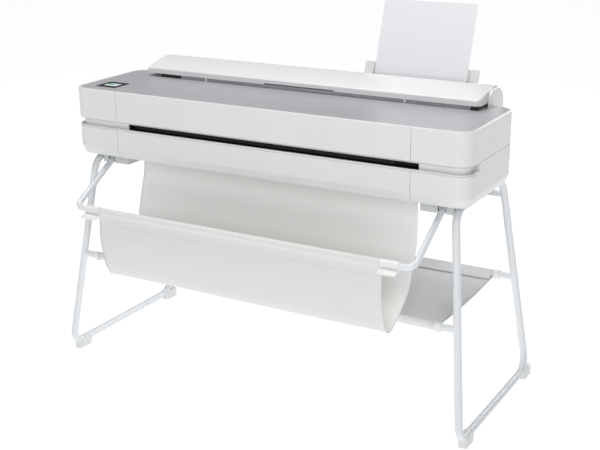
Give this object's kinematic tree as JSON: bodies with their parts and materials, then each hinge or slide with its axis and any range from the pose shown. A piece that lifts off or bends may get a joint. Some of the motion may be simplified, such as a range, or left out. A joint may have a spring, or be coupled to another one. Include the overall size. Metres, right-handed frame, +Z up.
{
  "type": "large format plotter",
  "caption": "Wide printer on a tubular stand: two rounded shells with an output slot, roll cover and sheet feeder on top, cloth shelf and swinging cloth basket below.",
  "frame": {"origin": "on the floor, in the middle of the whole machine seen from above", "axes": "+X to the right of someone facing the front, +Y to the rear, +Z up"},
  "size_m": [1.393, 0.662, 1.1394],
  "materials": {
    "white_plastic": "satin moulded",
    "grey_panel": "satin lacquer",
    "groove_plastic": "satin moulded",
    "black_plastic": "fine grain",
    "touch_glass": "polished",
    "roll_hub": "fine grain",
    "white_paint": "powder coat",
    "bracket_plastic": "fine grain",
    "steel": "zinc plated",
    "aluminium": "machined",
    "rubber": "ground",
    "basket_cloth": "plain weave",
    "shelf_cloth": "plain weave",
    "clip_plastic": "satin moulded",
    "paper": "uncoated",
    "ink_plastic": "fine grain",
    "board": "solder mask"
  },
  "bodies": {
    "root": {"upper_left_cover": "white_plastic", "upper_rear_cover": "white_plastic", "lower_front_cover": "white_plastic", "lower_left_cover": "white_plastic", "lower_right_cover": "white_plastic", "lower_rear_cover": "white_plastic", "output_lip": "white_plastic", "output_groove": "groove_plastic", "output_guide": "black_plastic", "top_panel": "grey_panel", "touch_panel": "touch_glass", "roll_trough": "white_plastic", "roll_cheeks": "white_plastic", "roll_cover_pins": "steel", "base_chassis": "steel", "side_frames": "steel", "platen": "black_plastic", "paper_guide": "black_plastic", "carriage_rod": "steel", "carriage_motor": "steel", "carriage_belt": "rubber", "feed_motor": "steel", "feed_belt": "rubber", "service_station": "black_plastic", "ink_tray": "black_plastic", "ink_cartridges": "ink_plastic", "electronics": "board", "power_inlet": "black_plastic", "data_ports": "black_plastic", "stand_loop_right": "white_paint", "stand_loop_left": "white_paint", "feet": "white_plastic", "rear_cross_tube": "white_paint", "shelf_bars": "white_paint", "shelf_collars": "clip_plastic", "collar_screws": "steel", "shelf_fabric": "shelf_cloth", "arm_brackets": "bracket_plastic", "basket_back": "basket_cloth"},
    "front_window": {"front_window": "white_plastic"},
    "ink_door": {"ink_door": "white_plastic"},
    "roll_cover": {"roll_cover": "white_plastic", "sheet_tray": "white_plastic"},
    "tray_extension": {"tray_extension": "white_plastic"},
    "sheet_guide_left": {"sheet_guide_left": "white_plastic"},
    "sheet_guide_right": {"sheet_guide_right": "white_plastic"},
    "paper_sheet": {"paper_sheet": "paper"},
    "spindle": {"spindle": "steel", "spindle_hubs": "roll_hub"},
    "carriage": {"carriage": "black_plastic"},
    "motor_pulley": {"motor_pulley": "aluminium"},
    "idler_pulley": {"idler_pulley": "aluminium"},
    "feed_roller": {"feed_roller": "rubber"},
    "pinch_rollers": {"pinch_rollers": "black_plastic"},
    "output_roller": {"output_roller": "rubber"},
    "feed_motor_pulley": {"feed_motor_pulley": "aluminium"},
    "power_key": {"power_key": "bracket_plastic"},
    "basket": {"basket_frame": "white_paint", "basket_front": "basket_cloth", "basket_clips": "clip_plastic"}
  },
  "joints": [
    {"name": "front_window_hinge", "type": "hinge", "parent": "root", "child": "front_window", "pos_m": [0, -0.1703, 0.876], "axis": [-1, 0, 0], "range_deg": [0, 80]},
    {"name": "ink_door_hinge", "type": "hinge", "parent": "root", "child": "ink_door", "pos_m": [0.627, 0.159, 0.83], "axis": [0, 0, 1], "range_deg": [0, 60]},
    {"name": "roll_cover_hinge", "type": "hinge", "parent": "root", "child": "roll_cover", "pos_m": [0, 0.2528, 0.8888], "axis": [-1, 0, 0], "range_deg": [0, 70]},
    {"name": "tray_extension_slide", "type": "slide", "parent": "roll_cover", "child": "tray_extension", "axis": [0, 0.3074, 0.9516], "range_m": [0, 0.08]},
    {"name": "sheet_guide_left_slide", "type": "slide", "parent": "roll_cover", "child": "sheet_guide_left", "axis": [-1, 0, 0], "range_m": [0, 0.025]},
    {"name": "sheet_guide_right_slide", "type": "slide", "parent": "roll_cover", "child": "sheet_guide_right", "axis": [1, 0, 0], "range_m": [0, 0.025]},
    {"name": "sheet_feed_slide", "type": "slide", "parent": "roll_cover", "child": "paper_sheet", "axis": [0, 0.3074, 0.9516], "range_m": [0, 0.15]},
    {"name": "spindle_spin", "type": "hinge", "parent": "root", "child": "spindle", "pos_m": [0, 0.198, 0.8715], "axis": [1, 0, 0], "continuous": true},
    {"name": "carriage_slide", "type": "slide", "parent": "root", "child": "carriage", "axis": [1, 0, 0], "range_m": [-0.95, 0]},
    {"name": "motor_pulley_spin", "type": "hinge", "parent": "root", "child": "motor_pulley", "pos_m": [-0.54, -0.074, 0.862], "axis": [0, 0, 1], "continuous": true},
    {"name": "idler_pulley_spin", "type": "hinge", "parent": "root", "child": "idler_pulley", "pos_m": [0.546, -0.074, 0.862], "axis": [0, 0, 1], "continuous": true},
    {"name": "feed_roller_spin", "type": "hinge", "parent": "root", "child": "feed_roller", "pos_m": [0, -0.006, 0.76], "axis": [1, 0, 0], "continuous": true},
    {"name": "pinch_rollers_spin", "type": "hinge", "parent": "root", "child": "pinch_rollers", "pos_m": [0, -0.006, 0.7773], "axis": [1, 0, 0], "continuous": true},
    {"name": "output_roller_spin", "type": "hinge", "parent": "root", "child": "output_roller", "pos_m": [0, -0.138, 0.763], "axis": [1, 0, 0], "continuous": true},
    {"name": "feed_motor_pulley_spin", "type": "hinge", "parent": "root", "child": "feed_motor_pulley", "pos_m": [-0.574, 0.066, 0.735], "axis": [1, 0, 0], "continuous": true},
    {"name": "power_key_press", "type": "slide", "parent": "root", "child": "power_key", "axis": [0, -1, 0], "range_m": [0, 0.0015], "stiffness_N_per_m": 400},
    {"name": "basket_swing", "type": "hinge", "parent": "root", "child": "basket", "pos_m": [0, -0.109, 0.647], "axis": [1, 0, 0], "range_deg": [-30, 0]}
  ],
  "couplings": [
    {"joint": "sheet_guide_right_slide", "follows": "sheet_guide_left_slide", "ratio": 1},
    {"joint": "motor_pulley_spin", "follows": "carriage_slide", "rad_per_m": 125},
    {"joint": "idler_pulley_spin", "follows": "carriage_slide", "rad_per_m": 125},
    {"joint": "pinch_rollers_spin", "follows": "feed_roller_spin", "ratio": -2.4},
    {"joint": "output_roller_spin", "follows": "feed_roller_spin", "ratio": 2},
    {"joint": "feed_motor_pulley_spin", "follows": "feed_roller_spin", "ratio": 3.3333}
  ]
}
